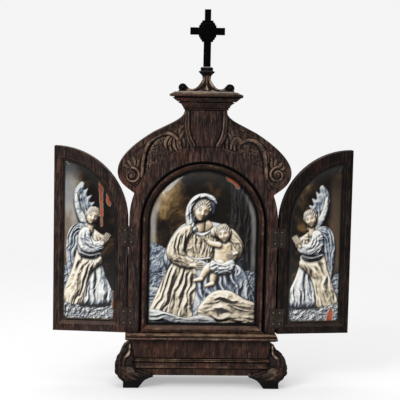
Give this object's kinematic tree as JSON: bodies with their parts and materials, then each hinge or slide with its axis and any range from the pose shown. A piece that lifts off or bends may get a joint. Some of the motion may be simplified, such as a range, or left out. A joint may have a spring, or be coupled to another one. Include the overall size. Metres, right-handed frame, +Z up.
{
  "type": "triptych altarpiece",
  "caption": "Small carved wooden triptych altarpiece: arched main panel on a footed base, hinged wings and domed enamel plaques, topped by a cross.",
  "frame": {"origin": "on the floor under the middle of the base footprint", "axes": "+X to the viewer's right, +Y away from the viewer, +Z up; the pictures face -Y"},
  "size_m": [0.3896, 0.072, 0.4916],
  "materials": {
    "carved_wood": "dark stained, waxed, worn satin",
    "black_wood": "ebonised, satin",
    "back_board": "plain sawn, matt",
    "enamel": "opaque painted enamel on copper, glossy",
    "hinge_metal": "darkened, dull"
  },
  "bodies": {
    "shrine": {"base_apron": "carved_wood", "base_lower_moulding": "carved_wood", "base_frieze": "carved_wood", "base_top_moulding": "carved_wood", "foot_front_left": "carved_wood", "foot_front_right": "carved_wood", "foot_back_left": "carved_wood", "foot_back_right": "carved_wood", "main_panel": "carved_wood", "arch_moulding": "carved_wood", "sill_moulding": "carved_wood", "console_tablet": "carved_wood", "cornice": "carved_wood", "scroll_crest": "carved_wood", "cross": "black_wood", "main_plaque": "enamel", "main_backing": "back_board", "left_lower_hinge_frame_leaf": "hinge_metal", "left_lower_hinge_pin": "hinge_metal", "left_upper_hinge_frame_leaf": "hinge_metal", "left_upper_hinge_pin": "hinge_metal", "right_lower_hinge_frame_leaf": "hinge_metal", "right_lower_hinge_pin": "hinge_metal", "right_upper_hinge_frame_leaf": "hinge_metal", "right_upper_hinge_pin": "hinge_metal"},
    "left_wing": {"left_wing_frame": "carved_wood", "left_wing_plaque": "enamel", "left_wing_backing": "back_board", "left_lower_hinge_wing_leaf": "hinge_metal", "left_upper_hinge_wing_leaf": "hinge_metal"},
    "right_wing": {"right_wing_frame": "carved_wood", "right_wing_plaque": "enamel", "right_wing_backing": "back_board", "right_lower_hinge_wing_leaf": "hinge_metal", "right_upper_hinge_wing_leaf": "hinge_metal"}
  },
  "joints": [
    {"name": "left_wing_hinge", "type": "hinge", "parent": "shrine", "child": "left_wing", "pos_m": [-0.098, -0.0203, 0], "axis": [0, 0, 1], "range_deg": [-3, 187]},
    {"name": "right_wing_hinge", "type": "hinge", "parent": "shrine", "child": "right_wing", "pos_m": [0.098, -0.0203, 0], "axis": [0, 0, -1], "range_deg": [-3, 187]}
  ]
}
